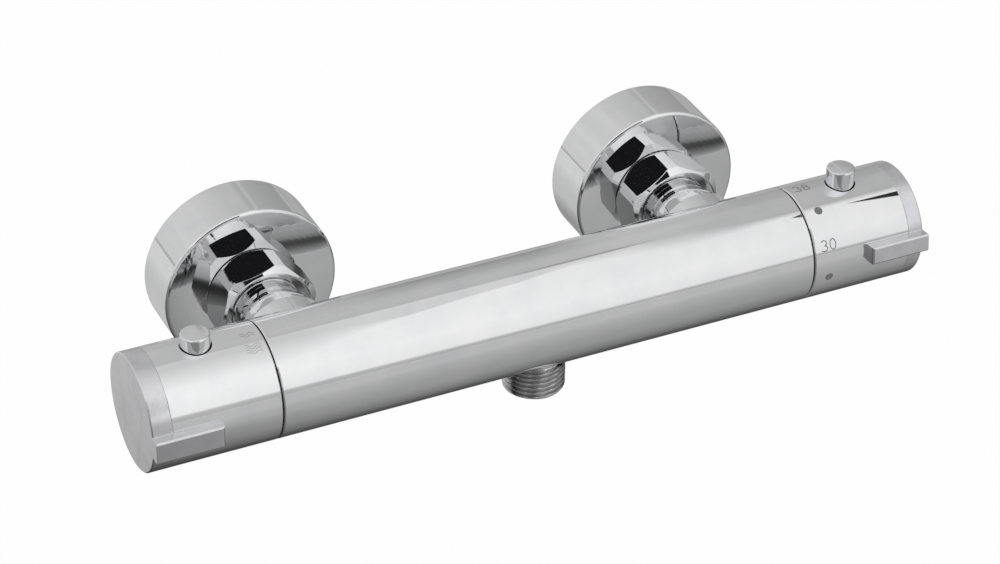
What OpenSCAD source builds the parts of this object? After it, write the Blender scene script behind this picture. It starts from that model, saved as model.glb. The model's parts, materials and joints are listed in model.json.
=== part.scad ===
/* [Bar] */
// Outer diameter of the bar and of both knobs
bar_d = 39; // [39:0.5:42]
// Distance from the wall to the axis of the bar
bar_reach = 68.5; // [67:0.5:80]
// Distance from the middle of the two inlets to the seam of the flow knob
flow_seam = 91; // [90:1:105]
// Distance from the middle of the two inlets to the seam of the temperature knob
temperature_seam = 99; // [98:1:110]
// Gap between the bar and each knob
seam_gap = 0.4; // [0.3:0.05:0.8]
// Chamfer on the sharp edges of the bar and of the knobs
edge_chamfer = 0.35; // [0.2:0.05:0.6]

/* [Inlets] */
// Distance between the centres of the two wall inlets
inlet_pitch = 150; // [146:1:153]
// Crest diameter of the male thread that goes into the wall
wall_thread_d = 20.956; // [20:0.1:21.5]
// Length of the thread that goes into the wall
wall_thread_len = 13; // [10:0.5:18]
// Pitch of the pipe thread in the wall and at the outlet
pipe_pitch = 1.814; // [1.5:0.05:2]
// Bore of the wall connector
connector_bore_d = 15; // [12:0.5:16]
// Width across flats of the spanner collar on the wall connector
collar_af = 27; // [27:0.5:32]
// Distance from the wall to the front of the spanner collar
collar_front = 11.5; // [9:0.5:14]
// Crest diameter of the thread for the union nut
union_thread_d = 26.44; // [26:0.1:27]
// Pitch of the union thread
union_pitch = 1.814; // [1.5:0.05:2]
// Outer diameter of the wall shroud
shroud_d = 60; // [52:1:75]
// Depth of the wall shroud at the hole in its face
shroud_depth = 20.5; // [18:0.5:24]
// Thickness of the shroud's metal
shroud_wall = 1.2; // [0.8:0.1:2]
// How far the shroud's domed face falls from its hole to its edge
shroud_crown = 0.44; // [0:0.02:1]
// Radius of the shroud's rounded front edge
shroud_edge_r = 1.2; // [0.4:0.1:1.5]
// Width of the soft seal inside the shroud's rim
shroud_seal_w = 1.8; // [1:0.1:3]
// Depth of the soft seal inside the shroud's rim
shroud_seal_h = 2.6; // [1.5:0.1:4]

/* [Union] */
// Width across flats of the union nut
nut_af = 31.5; // [30:0.5:36]
// Length of the union nut
nut_len = 14.6; // [13:0.2:16]
// How far the nut's six corners are turned down
nut_corner_cut = 0.95; // [0.3:0.05:1.5]
// Length of the chamfer at the nut's back end
nut_back_chamfer = 3; // [1:0.1:4]
// Length of the chamfer at the nut's front end
nut_front_chamfer = 1.5; // [0.5:0.1:2.5]
// Width of the flat rim round the nut's recess
nut_rim_w = 0.5; // [0.3:0.1:1]
// Gap between the shroud's face and the union nut
nut_gap = 0.3; // [0.2:0.1:1]
// Turn of the hot nut about its own axis
hot_nut_turn = 14; // [0:1:59]
// Turn of the cold nut about its own axis
cold_nut_turn = 35; // [0:1:59]
// Thickness of the nut's lip round the recess in its front face, at the flats
nut_lip = 1.25; // [1:0.05:2.5]
// Depth of that recess
nut_mouth_depth = 2.4; // [1:0.1:3]
// Thickness of the nut's inner shoulder
nut_shoulder = 1.6; // [1.2:0.1:2.4]
// Diameter of the union tail's shank
tail_d = 21.8; // [21:0.1:22.4]
// Diameter of the union tail where it screws into the neck
tail_thread_d = 20.4; // [19.5:0.1:20.8]
// Length of the union tail from its flange to its end
tail_len = 14.6; // [13.5:0.2:17]
// Bore of the union tail, which holds the check valve
tail_bore_d = 16; // [15:0.2:16.4]
// Thickness of the union tail's flange
tail_flange = 1.9; // [1.5:0.1:2.5]
// Thickness of the union washer
washer_t = 2; // [1.5:0.1:3]
// Depth of the strainer cup
strainer_depth = 5.5; // [4:0.5:8]
// Outer diameter of the neck at the union nut
neck_tip_d = 24; // [23.4:0.2:25]
// Length of the neck's straight tip
neck_tip_len = 4.6; // [3:0.2:7]
// Outer diameter of the neck where it meets the bar
neck_root_d = 29.5; // [27:0.5:33]

/* [Outlet] */
// Place of the outlet along the bar, from the middle of the inlets
outlet_x = 5; // [-5:1:15]
// Crest diameter of the outlet's male thread
outlet_thread_d = 20.956; // [20:0.1:21.5]
// Distance from the bar's axis to the lower end of the outlet
outlet_reach = 29.8; // [27:0.2:34]
// Bore of the outlet
outlet_bore_d = 13; // [10:0.5:13]
// Diameter of the flat machined on the bar round the outlet
outlet_flat_d = 22.8; // [22:0.2:25]

/* [Waterways] */
// Diameter of the long channels in the bar
channel_d = 6.6; // [5:0.2:7]
// Diameter of the mixed water bore along the bar's axis
mixed_bore_d = 10; // [8:0.5:11]
// Bore of the two necks behind the union tails
neck_bore_d = 16; // [14:0.5:16]

/* [Flow cartridge] */
// Bore in the bar for the flow cartridge
flow_bore_d = 19; // [18.4:0.2:19.6]
// Depth of that bore from the seam
flow_bore_depth = 39; // [37:0.5:44]
// Diameter of the two ceramic discs
disc_d = 15.4; // [14.6:0.2:15.6]
// Thickness of the fixed disc
fixed_disc_t = 3; // [2.4:0.2:3.6]
// Thickness of the moving disc
moving_disc_t = 2.6; // [2:0.2:3.2]
// Diameter of the water holes in the discs
disc_hole_d = 4.4; // [3:0.2:4.6]

/* [Thermostat] */
// Wide bore in the bar for the thermostatic cartridge
thermo_bore_d = 26; // [25:0.5:27]
// Narrow bore for the inner end of the thermostatic cartridge
thermo_narrow_d = 19.6; // [18.6:0.2:20]
// Bore of the cartridge in which the shuttle slides
shuttle_bore_d = 14; // [13:0.2:14.4]
// Diameter of the wax element
wax_d = 6.2; // [5:0.2:7]

/* [Spindles] */
// Diameter of both spindles
spindle_d = 10; // [9:0.2:10.6]
// Outer diameter of the cartridge necks round the spindles
cartridge_neck_d = 15; // [14.4:0.2:15]
// Width across flats of the spindles' driving end
drive_af = 8; // [7:0.2:8.4]
// Width of the gland nuts over their flats
gland_af = 28; // [26:0.5:28.5]
// Diameter of the gland nuts' threaded part on the flow side
flow_gland_d = 24; // [23:0.5:24.5]
// Diameter of the gland nuts' threaded part on the temperature side
temperature_gland_d = 30; // [28.5:0.5:31]

/* [Knobs] */
// Length of the flow knob
flow_knob_len = 43.5; // [41:0.5:55]
// Length of the temperature knob
temperature_knob_len = 42; // [38:0.5:55]
// Thickness of the chrome knob sleeves
sleeve_wall = 2.3; // [1.6:0.1:2.4]
// Width of the satin ring at the end of the flow knob
flow_skirt = 6.8; // [5:0.2:9]
// Width of the satin ring at the end of the temperature knob
temperature_skirt = 5.5; // [4.5:0.2:9]
// Thickness of the satin end discs
cap_t = 2.5; // [2:0.1:4]
// Length of the flow lever along the knob
flow_lever_len = 22.8; // [15:0.2:30]
// Height of the flow lever
flow_lever_h = 8; // [5:0.2:12]
// How far the flow lever stands out of the knob
flow_lever_proud = 3; // [2:0.2:8]
// Angle of the flow lever above the front
flow_lever_angle = -3; // [-30:1:30]
// Length of the temperature lever along the knob
temperature_lever_len = 21.6; // [15:0.2:30]
// Height of the temperature lever
temperature_lever_h = 6.2; // [4:0.2:12]
// How far the temperature lever stands out of the knob
temperature_lever_proud = 3.6; // [2:0.2:8]
// Angle of the temperature lever above the front
temperature_lever_angle = 7; // [-30:1:30]
// Chamfer along the levers' outer edges
lever_chamfer = 0.5; // [0.2:0.1:1]
// Radius of the rounded corner at the levers' inner end
lever_end_r = 1.2; // [0.6:0.1:1.8]

/* [Buttons] */
// Diameter of the two push buttons
button_d = 9.6; // [8.6:0.1:9.8]
// Diameter of the button holes in the sleeves
button_hole_d = 10.4; // [10.4:0.1:11]
// Distance from the seam to the flow button's centre
flow_button_z = 21.5; // [20:0.5:24]
// Distance from the seam to the temperature button's centre
temperature_button_z = 19.5; // [18.5:0.5:22]
// How far the flow button stands out of the knob
flow_button_proud = 4.5; // [3.5:0.5:8]
// How far the temperature button stands out of the knob
temperature_button_proud = 6; // [3.5:0.5:8]
// Radius of the buttons' rounded top edges
button_edge_r = 0.7; // [0.3:0.1:1]
// Height of the buttons' slight dome
button_crown = 0.3; // [0:0.1:0.6]
// Travel of the buttons
button_travel = 2; // [1:0.1:2]
// Wire diameter of the button springs
button_wire = 0.6; // [0.4:0.1:0.9]

/* [Hidden] */
$fn = 96;

// Colours of the finishes
chrome = "gainsboro";
satin = "darkgray";
brass = "goldenrod";
steel = "lightslategray";
ceramic = "whitesmoke";
rubber = "dimgray";
plastic = "slategray";

// Clearances
running = 0.05;     // radial, between a shaft and its bearing
fit = 0.1;          // radial, between parts that are screwed or pushed together
free = 0.3;         // between bodies that move past each other

// Bar
bar_r = bar_d / 2;
inlet_x = inlet_pitch / 2;
neck_into_bar = bar_reach - sqrt(bar_r * bar_r - neck_root_d * neck_root_d / 4) + 1;
bar_back = bar_reach - bar_r;

// Union stack, as distances from the wall
nut_back = shroud_depth + nut_gap;
nut_front = nut_back + nut_len;
nut_mouth_r = nut_af / 2 - nut_lip;
shoulder_front = nut_front - nut_mouth_depth;
shoulder_back = shoulder_front - nut_shoulder;
flange_front = shoulder_back - fit;
flange_back = flange_front - tail_flange;
connector_front = flange_back - washer_t;
neck_front = shoulder_front + free;
tail_end = flange_back + tail_len;
union_bore_r = union_thread_d / 2 + running;
flange_r = union_bore_r - 0.4;
strainer_flange_t = 0.6;
strainer_r = connector_bore_d / 2 + 1.2;
connector_mouth_r = strainer_r + 1.3;
check_r = tail_bore_d / 2 - running;
check_back = flange_back + 2;
check_len = 12;
check_front = check_back + check_len;
check_wall = 1;
check_seat_t = 1.5;
check_seat_r = 4.4;
poppet_t = 1.7;
poppet_r = 5.6;
poppet_stem_r = 1.35;
spider_t = 2;
spider_hub_r = 3.8;
check_wire_r = 0.2;
check_spring_r = 3.4;

// Waterways: distance of the side channels from the bar's axis
channel_r = channel_d / 2;
channel_offset = flow_bore_d / 2 + 1.4 + channel_r;
low_channel_offset = mixed_bore_d / 2 + 1.7 + channel_r;
flow_port_z = 29;
link_x = -flow_seam + flow_bore_depth + 8;

// Outlet, as distances below the bar's axis
outlet_flat = sqrt(bar_r * bar_r - outlet_flat_d * outlet_flat_d / 4) + 0.2;
outlet_screw_r = outlet_thread_d / 2 - 1.95;
outlet_neck_len = 1.9;
outlet_top = low_channel_offset + channel_r - 0.4;
outlet_chamber_top = low_channel_offset - channel_r - 0.2;

// Thermostat, as depths from the seam
cold_port_z = temperature_seam - inlet_x;
thermo_step_z = cold_port_z + 12;
hot_port_z = thermo_step_z + 7;
thermo_end_z = hot_port_z + 26;
thermo_tail_z = thermo_end_z - 3;
gland_depth = 6;
gland_flange_t = 3;
thermo_wide_r = thermo_bore_d / 2 - 0.2;
thermo_narrow_r = thermo_narrow_d / 2 - 0.2;
outer_ring_z = 12;
ring_past_cold = 8;
ring_past_hot = 9;
thermo_ring_z = [outer_ring_z, cold_port_z + ring_past_cold, hot_port_z + ring_past_hot];
thermo_ring_bore = [thermo_bore_d / 2, thermo_bore_d / 2, thermo_narrow_d / 2];
window_half = 3;
window_open = 0.5;
split_z = 15;
joint_z = 19.5;
joint_r = 10.6;
shuttle_r = shuttle_bore_d / 2 - running;
shuttle_wall = 1.5;
shuttle_back_z = hot_port_z + window_half - window_open;
shuttle_front_z = cold_port_z - window_half + window_open;
shuttle_web_z = (shuttle_back_z + shuttle_front_z) / 2;
spindle_cup_z = 7.3;
carrier_r = 6.8;
carrier_front_z = 9.6;
carrier_back_z = 19.5;
cup_wall = 2.4;
wax_len = 20;
wax_edge = 0.6;
return_wire_r = 0.6;
overload_wire_r = 0.45;

// Knobs
sleeve_ir = bar_r - sleeve_wall;
insert_r = sleeve_ir - running;
insert_from_button = 4.5;
insert_t = 3;
hub_r = 6.5;
hub_from_button = 2;
hub_top = 11;
spindle_top = 9;
neck_below_button = 2;
clip_t = 1;
screw_r = 1.9;
screw_head_r = 3.5;
screw_head_t = 2.2;
flange_thick = 0.9;
button_r = button_d / 2;
button_roof = 2;
button_flange_r = button_hole_d / 2 + 0.4;
button_flange_top = sqrt(sleeve_ir * sleeve_ir - button_flange_r * button_flange_r) - free;
button_flange_low = button_flange_top - flange_thick;
boss_floor_top = button_flange_low - button_travel - 0.35;
boss_floor_t = 1;
boss_r = button_flange_r + 1.4;
pin_r = 1.5;
pin_tip = boss_floor_top - boss_floor_t - 0.8;
stop_hub_r = cartridge_neck_d / 2 + 0.9;
stop_lug_r = boss_floor_top - boss_floor_t - free;
stop_flange_r = sleeve_ir - fit;
stop_flange_t = 2;
flow_gland_top = 5;
temperature_gland_top = 4.5;

// Turning ranges, positive when the front of the knob goes down
flow_turn_min = -90;
flow_turn_max = 0;
temperature_turn_min = -160;
temperature_turn_max = 107;

// Frames. Along an inlet, z is the distance from the wall and y points up
module inlet(side) {
    translate([side * inlet_x, 0, 0])
        rotate([90, 0, 0])
            children();
}

// At a bar end, z points outward from the seam, x points up and y to the wall
module bar_end(side) {
    translate([side > 0 ? temperature_seam : -flow_seam, -bar_reach, 0])
        mirror([side > 0 ? 1 : 0, 0, 0])
            rotate([0, -90, 0])
                children();
}

// At the outlet, z points down from the bar's axis
module outlet_frame() {
    translate([outlet_x, -bar_reach, 0])
        rotate([180, 0, 0])
            children();
}

// Plain solids
module rod(r, z0, z1) {
    translate([0, 0, z0])
        cylinder(r = r, h = z1 - z0);
}

module tube(ro, ri, z0, z1) {
    difference() {
        rod(ro, z0, z1);
        rod(ri, z0 - 1, z1 + 1);
    }
}

module hex_rod(af, z0, z1) {
    translate([0, 0, z0])
        cylinder(r = af / sqrt(3), h = z1 - z0, $fn = 6);
}

module drive_rod(af, z0, z1) {
    translate([0, 0, z0])
        rotate([0, 0, 22.5])
            cylinder(r = af / 2 / cos(22.5), h = z1 - z0, $fn = 8);
}

module turned(points) {
    rotate_extrude()
        polygon(points);
}

module o_ring(bore_r, groove_r, z) {
    section_r = (bore_r - groove_r) / 2 - 0.03;
    translate([0, 0, z])
        rotate_extrude()
            translate([(bore_r + groove_r) / 2, 0])
                circle(r = section_r, $fn = 32);
}

module groove(bore_r, groove_r, z) {
    half = (bore_r - groove_r) / 2 + 0.25;
    tube(bore_r + 1, groove_r, z - half, z + half);
}

// A rod with ring grooves at the pitch of its thread and both ends chamfered
module threaded_rod(d, pitch, z0, z1) {
    r = d / 2;
    root_r = r - 0.6 * pitch;
    half = 0.1 + 0.6 * pitch * tan(27.5);
    over = 0.1 + (0.6 * pitch + 1) * tan(27.5);
    end_chamfer = 0.8;
    first = z0 + end_chamfer + half;
    count = floor((z1 - z0 - 2 * end_chamfer - 2 * half) / pitch) + 1;
    difference() {
        turned([[0, z0], [r - end_chamfer, z0], [r, z0 + end_chamfer],
            [r, z1 - end_chamfer], [r - end_chamfer, z1], [0, z1]]);
        rotate_extrude()
            for (i = [0 : count - 1])
                translate([0, first + i * pitch])
                    polygon([[root_r, -0.1], [r + 1, -over], [r + 1, over], [root_r, 0.1]]);
    }
}

// One unbroken wire wound along z from z0 to z1, with 8 rings a curl and 6 sides
function coil_ring(r, wire_r, angle, z) = [for (k = [0 : 5])
    let (a = k * 60, radius = r + wire_r * cos(a))
    [radius * cos(angle), radius * sin(angle), z + wire_r * sin(a)]];

function coil_quads(rings) = [for (i = [0 : rings - 2]) for (k = [0 : 5])
    let (a = i * 6 + k, b = i * 6 + (k + 1) % 6)
    [a, b, b + 6, a + 6]];

function halves(quads) = [for (q = quads) each [[q[0], q[1], q[2]], [q[0], q[2], q[3]]]];

module coil(r, wire_r, z0, z1, curls) {
    rings = curls * 8 + 1;
    low = z0 + wire_r + 0.02;
    rise = z1 - z0 - 2 * wire_r - 0.04;
    points = [for (i = [0 : rings - 1])
        each coil_ring(r, wire_r, i * 45, low + rise * i / (rings - 1))];
    last = (rings - 1) * 6;
    caps = [[0, 2, 1], [0, 3, 2], [0, 4, 3], [0, 5, 4],
        [last, last + 1, last + 2], [last, last + 2, last + 3],
        [last, last + 3, last + 4], [last, last + 4, last + 5]];
    echo("least gap between curls", rise / curls - 2 * wire_r);
    polyhedron(points, concat(halves(coil_quads(rings)), caps));
}

// The bar with its two necks, bored for both cartridges and the waterways
module bar_blank() {
    translate([-flow_seam, -bar_reach, 0])
        rotate([0, 90, 0])
            turned([[0, 0], [bar_r - edge_chamfer, 0], [bar_r, edge_chamfer],
                [bar_r, flow_seam + temperature_seam - edge_chamfer],
                [bar_r - edge_chamfer, flow_seam + temperature_seam], [0, flow_seam + temperature_seam]]);
}

module neck_blank() {
    turned([[0, neck_front], [neck_tip_d / 2 - 0.3, neck_front], [neck_tip_d / 2, neck_front + 0.3],
        [neck_tip_d / 2, neck_front + neck_tip_len], [neck_root_d / 2, bar_back],
        [neck_root_d / 2, neck_into_bar], [0, neck_into_bar]]);
}

module neck_bore(depth) {
    rod(tail_thread_d / 2 + fit, neck_front - 1, tail_end + 0.6);
    rod(neck_bore_d / 2, neck_front, depth);
}

module valve_body() {
    hot_neck_depth = bar_reach - channel_offset + channel_r;
    cold_neck_depth = bar_reach - thermo_bore_d / 2 + 2;
    hot_port_x = temperature_seam - hot_port_z;
    mixed_len = temperature_seam - thermo_end_z + flow_seam - flow_bore_depth;
    color(chrome)
        difference() {
            union() {
                bar_blank();
                inlet(-1) neck_blank();
                inlet(1) neck_blank();
            }
            inlet(-1) neck_bore(hot_neck_depth);
            inlet(1) neck_bore(cold_neck_depth);
            bar_end(-1) {
                rod(flow_bore_d / 2, -flow_bore_depth, 1);
                rod(flow_gland_d / 2 + fit, -gland_depth, 1);
            }
            bar_end(1) {
                rod(thermo_narrow_d / 2, -thermo_end_z, 1);
                rod(thermo_bore_d / 2, -thermo_step_z, 1);
                rod(temperature_gland_d / 2 + fit, -gland_depth, 1);
            }
            translate([-flow_seam + flow_bore_depth - 1, -bar_reach, 0])
                rotate([0, 90, 0])
                    cylinder(d = mixed_bore_d, h = mixed_len + 2);
            translate([-inlet_x, -bar_reach + channel_offset, 0])
                rotate([0, 90, 0])
                    cylinder(r = channel_r, h = hot_port_x + inlet_x);
            translate([hot_port_x, -bar_reach + thermo_narrow_d / 2 - 2, 0])
                rotate([-90, 0, 0])
                    cylinder(r = channel_r, h = channel_offset - thermo_narrow_d / 2 + 2);
            translate([-flow_seam + flow_port_z, -bar_reach, -channel_offset])
                rotate([0, 90, 0])
                    cylinder(r = channel_r, h = link_x + flow_seam - flow_port_z);
            translate([-flow_seam + flow_port_z, -bar_reach, -channel_offset])
                cylinder(r = channel_r - 0.3, h = channel_offset - flow_bore_d / 2 + 2);
            translate([link_x, -bar_reach, -channel_offset])
                cylinder(r = channel_r - 0.3, h = channel_offset - low_channel_offset);
            translate([link_x, -bar_reach, -low_channel_offset])
                rotate([0, 90, 0])
                    cylinder(r = channel_r, h = outlet_x - link_x);
            outlet_frame() {
                rod(outlet_screw_r + fit, outlet_chamber_top, bar_r + 1);
                rod(outlet_flat_d / 2, outlet_flat, bar_r + 1);
            }
        }
}

// Wall connector: wall thread, spanner collar and union thread on one bore
module wall_connector(side) {
    color(chrome)
        inlet(side)
            difference() {
                union() {
                    threaded_rod(wall_thread_d, pipe_pitch, -wall_thread_len, 0);
                    hex_rod(collar_af, 0, collar_front);
                    threaded_rod(union_thread_d, union_pitch, collar_front, connector_front);
                }
                rod(connector_bore_d / 2, -wall_thread_len - 1, connector_front + 1);
                rod(connector_mouth_r, connector_front - strainer_depth - 1.5, connector_front + 1);
            }
}

module hot_wall_connector() {
    wall_connector(-1);
}

module cold_wall_connector() {
    wall_connector(1);
}

// Shroud: a deep cup with a flat mirror face and a hole for the connector
module shroud(side) {
    r = shroud_d / 2;
    hole_r = union_thread_d / 2 + fit;
    face_r = r - shroud_edge_r;
    low = shroud_depth - shroud_crown;
    edge = [for (a = [0 : 15 : 75])
        [face_r + shroud_edge_r * cos(a), low - shroud_edge_r + shroud_edge_r * sin(a)]];
    dome = [for (t = [1 : -0.1 : 0.05])
        [hole_r + (face_r - hole_r) * t, shroud_depth - shroud_crown * t * t * t]];
    color(chrome)
        inlet(side)
            turned(concat([[r, 0]], edge, dome,
                [[hole_r, shroud_depth], [hole_r, shroud_depth - shroud_wall],
                [r - shroud_wall, low - shroud_wall], [r - shroud_wall, 0]]));
}

module hot_shroud() {
    shroud(-1);
}

module cold_shroud() {
    shroud(1);
}

module shroud_seals() {
    outer = shroud_d / 2 - shroud_wall - running;
    color(rubber)
        for (side = [-1, 1])
            inlet(side)
                tube(outer, outer - shroud_seal_w, 0.05, shroud_seal_h);
}

// Union nut: hexagon with rounded corners and chamfered ends, thread, shoulder and recess
module union_nut(side, turn) {
    corner_r = nut_af / sqrt(3) - nut_corner_cut;
    color(chrome)
        inlet(side)
            difference() {
                intersection() {
                    rotate([0, 0, turn])
                        hex_rod(nut_af, nut_back, nut_front);
                    turned([[0, nut_back], [nut_af / 2, nut_back], [corner_r, nut_back + nut_back_chamfer],
                        [corner_r, nut_front - nut_front_chamfer],
                        [nut_mouth_r + nut_rim_w, nut_front], [0, nut_front]]);
                }
                rod(union_bore_r, nut_back - 1, shoulder_back);
                rod(tail_d / 2 + free, nut_back, nut_front);
                rod(nut_mouth_r, shoulder_front, nut_front + 1);
            }
}

module hot_union_nut() {
    union_nut(-1, hot_nut_turn);
}

module cold_union_nut() {
    union_nut(1, cold_nut_turn);
}

module union_washers() {
    color(rubber)
        for (side = [-1, 1])
            inlet(side)
                tube(flange_r, strainer_r + fit, connector_front, flange_back);
}

// Strainer: a slotted cup whose flange lies in the union washer
module strainer(side) {
    cup_r = strainer_r - 1;
    wall = 0.6;
    color(steel)
        inlet(side)
            difference() {
                union() {
                    tube(strainer_r, cup_r - wall, flange_back - strainer_flange_t, flange_back);
                    rod(cup_r, flange_back - strainer_depth, flange_back);
                }
                rod(cup_r - wall, flange_back - strainer_depth + wall, flange_back + 1);
                for (i = [0 : 7])
                    rotate([0, 0, i * 45])
                        translate([cup_r - wall - 1, -0.7, flange_back - strainer_depth + 1])
                            cube([3, 1.4, strainer_depth - 2.4]);
                for (i = [-2 : 2])
                    translate([-4, i * 2.4 - 0.6, flange_back - strainer_depth - 1])
                        cube([8, 1.2, 3]);
            }
}

module hot_strainer() {
    strainer(-1);
}

module cold_strainer() {
    strainer(1);
}

// Union tail: screwed into the neck, its flange pulled up by the union nut
module union_tail(side) {
    ring_z = tail_end - 4;
    color(brass)
        inlet(side)
            difference() {
                union() {
                    rod(flange_r, flange_back, flange_front);
                    rod(tail_d / 2, flange_back, neck_front);
                    rod(tail_thread_d / 2, flange_back, tail_end);
                }
                rod(tail_bore_d / 2, flange_back - 1, check_front + 0.05);
                rod(tail_bore_d / 2 - 1, flange_back, tail_end + 1);
                groove(tail_thread_d / 2, tail_thread_d / 2 - 1.4, ring_z);
            }
}

module hot_union_tail() {
    union_tail(-1);
}

module cold_union_tail() {
    union_tail(1);
}

module tail_o_rings() {
    color(rubber)
        for (side = [-1, 1])
            inlet(side)
                o_ring(tail_thread_d / 2 + fit, tail_thread_d / 2 - 1.4, tail_end - 4);
}

// Check valve: cage with a seat behind and a guide spider in front
module check_valve(side) {
    inner = check_r - check_wall;
    color(plastic)
        inlet(side)
            union() {
                tube(check_r, inner, check_back, check_front);
                tube(inner + 0.2, check_seat_r, check_back, check_back + check_seat_t);
                tube(spider_hub_r, poppet_stem_r + fit, check_front - spider_t, check_front);
                for (i = [0 : 2])
                    rotate([0, 0, i * 120])
                        translate([poppet_stem_r + 0.7, -0.8, check_front - spider_t])
                            cube([inner - poppet_stem_r - 0.5, 1.6, spider_t]);
            }
}

module hot_check_valve() {
    check_valve(-1);
}

module cold_check_valve() {
    check_valve(1);
}

module check_poppet(side) {
    seat = check_back + check_seat_t + running;
    color(ceramic)
        inlet(side)
            turned([[0, seat - 0.8], [check_seat_r - 0.9, seat - 0.8], [check_seat_r - 0.3, seat],
                [poppet_r, seat], [poppet_r, seat + 0.6], [poppet_stem_r + 2.4, seat + poppet_t],
                [poppet_stem_r, seat + poppet_t], [poppet_stem_r, check_front], [0, check_front]]);
}

module hot_check_poppet() {
    check_poppet(-1);
}

module cold_check_poppet() {
    check_poppet(1);
}

module check_spring(side) {
    color(steel)
        inlet(side)
            coil(check_spring_r, check_wire_r, check_back + check_seat_t + running + poppet_t,
                check_front - spider_t, 5);
}

module hot_check_spring() {
    check_spring(-1);
}

module cold_check_spring() {
    check_spring(1);
}

// Outlet nipple: screwed up into the bar, its lower end threaded for a hose
module outlet_nipple() {
    thread_top = outlet_flat + outlet_neck_len;
    ring_z = (outlet_top + outlet_flat) / 2;
    color(chrome)
        outlet_frame()
            difference() {
                union() {
                    rod(outlet_screw_r, outlet_top, thread_top);
                    rod(outlet_thread_d / 2 - 0.9, outlet_flat, thread_top);
                    threaded_rod(outlet_thread_d, pipe_pitch, thread_top, outlet_reach);
                }
                rod(outlet_bore_d / 2, outlet_top - 1, outlet_reach + 1);
                groove(outlet_screw_r, outlet_screw_r - 1.2, ring_z);
            }
}

module outlet_o_ring() {
    color(rubber)
        outlet_frame()
            o_ring(outlet_screw_r + fit, outlet_screw_r - 1.2, (outlet_top + outlet_flat) / 2);
}

// Flow cartridge
flow_body_r = flow_bore_d / 2 - 0.2;
flow_chamber_r = disc_d / 2 + 0.2;
flow_body_back = -flow_bore_depth + 2.2;
fixed_disc_back = flow_body_back;
fixed_disc_front = fixed_disc_back + fixed_disc_t;
moving_disc_front = fixed_disc_front + moving_disc_t + running;
driver_t = 1.7;
flow_chamber_front = moving_disc_front + driver_t + 5.2;
flow_neck_top = flow_button_z - neck_below_button;
disc_hole_at = disc_d / 4;

module flow_cartridge_body() {
    color(brass)
        bar_end(-1)
            difference() {
                union() {
                    rod(flow_body_r, flow_body_back, -gland_depth);
                    rod(flow_gland_d / 2 - fit, -gland_depth, -gland_flange_t);
                    rod(cartridge_neck_d / 2, -gland_flange_t, flow_neck_top);
                }
                rod(flow_chamber_r, flow_body_back - 1, flow_chamber_front);
                rod(spindle_d / 2 + running, flow_body_back, flow_neck_top + 1);
                translate([-flow_bore_d, -4, -flow_port_z - window_half])
                    cube([2 * flow_bore_d, 8, 2 * window_half]);
                groove(flow_body_r, flow_body_r - 1.1, -flow_port_z + 10);
            }
}

module flow_cartridge_o_ring() {
    color(rubber)
        bar_end(-1)
            o_ring(flow_bore_d / 2, flow_body_r - 1.1, -flow_port_z + 10);
}

module flow_seat_seal() {
    color(rubber)
        bar_end(-1)
            tube(disc_d / 2, mixed_bore_d / 2 + 0.4, -flow_bore_depth, fixed_disc_back);
}

module flow_fixed_disc() {
    color(ceramic)
        bar_end(-1)
            difference() {
                rod(disc_d / 2, fixed_disc_back, fixed_disc_front);
                for (s = [-1, 1])
                    translate([0, s * disc_hole_at, 0])
                        rod(disc_hole_d / 2, fixed_disc_back - 1, fixed_disc_front + 1);
            }
}

module flow_moving_disc() {
    color(ceramic)
        bar_end(-1)
            difference() {
                rod(disc_d / 2, fixed_disc_front + running, moving_disc_front);
                for (s = [-1, 1])
                    translate([s * disc_hole_at, 0, 0])
                        rod(disc_hole_d / 2, fixed_disc_front - 1, moving_disc_front + 1);
            }
}

module gland_nut(side, thread_d, top) {
    color(brass)
        bar_end(side)
            difference() {
                union() {
                    rod(thread_d / 2, -gland_flange_t, fit);
                    hex_rod(gland_af, fit, top);
                }
                rod(cartridge_neck_d / 2 + fit, -gland_flange_t - 1, top + 1);
            }
}

module flow_gland_nut() {
    gland_nut(-1, flow_gland_d, flow_gland_top);
}

// Stop ring: flange that centres the knob, hub on the cartridge's neck and a lug
// that fills the angles that the button's pin never reaches
module stop_ring(side, low, button_z, turn_min, turn_max) {
    margin = 13;
    start = -turn_min + margin;
    sweep = 360 + turn_min - turn_max - 2 * margin;
    top = button_z + 1;
    color(plastic)
        bar_end(side)
            difference() {
                union() {
                    rod(stop_flange_r, low, low + stop_flange_t);
                    rod(stop_hub_r, low, top);
                    rotate([0, 0, start])
                        rotate_extrude(angle = sweep)
                            translate([stop_hub_r - 0.3, low])
                                square([stop_lug_r - stop_hub_r + 0.3, top - low]);
                }
                rod(cartridge_neck_d / 2 + fit, low - 1, button_z - neck_below_button);
                rod(stop_hub_r - 0.5, button_z - neck_below_button - 0.1, top + 1);
            }
}

module flow_stop_ring() {
    stop_ring(-1, flow_gland_top, flow_button_z, flow_turn_min, flow_turn_max);
}

module flow_spindle() {
    color(brass)
        bar_end(-1)
            difference() {
                union() {
                    difference() {
                        rod(disc_d / 2 - 0.6, moving_disc_front, moving_disc_front + driver_t);
                        for (s = [-1, 1])
                            translate([s * disc_hole_at, 0, 0])
                                rod(disc_hole_d / 2, moving_disc_front - 1, moving_disc_front + driver_t + 1);
                    }
                    rod(spindle_d / 2 - 1.4, moving_disc_front, flow_chamber_front);
                    rod(spindle_d / 2, flow_chamber_front - 2, flow_neck_top + clip_t + 0.6);
                    drive_rod(drive_af, flow_neck_top, flow_button_z + spindle_top);
                }
                spindle_cuts(flow_button_z, -12);
            }
}

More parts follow.
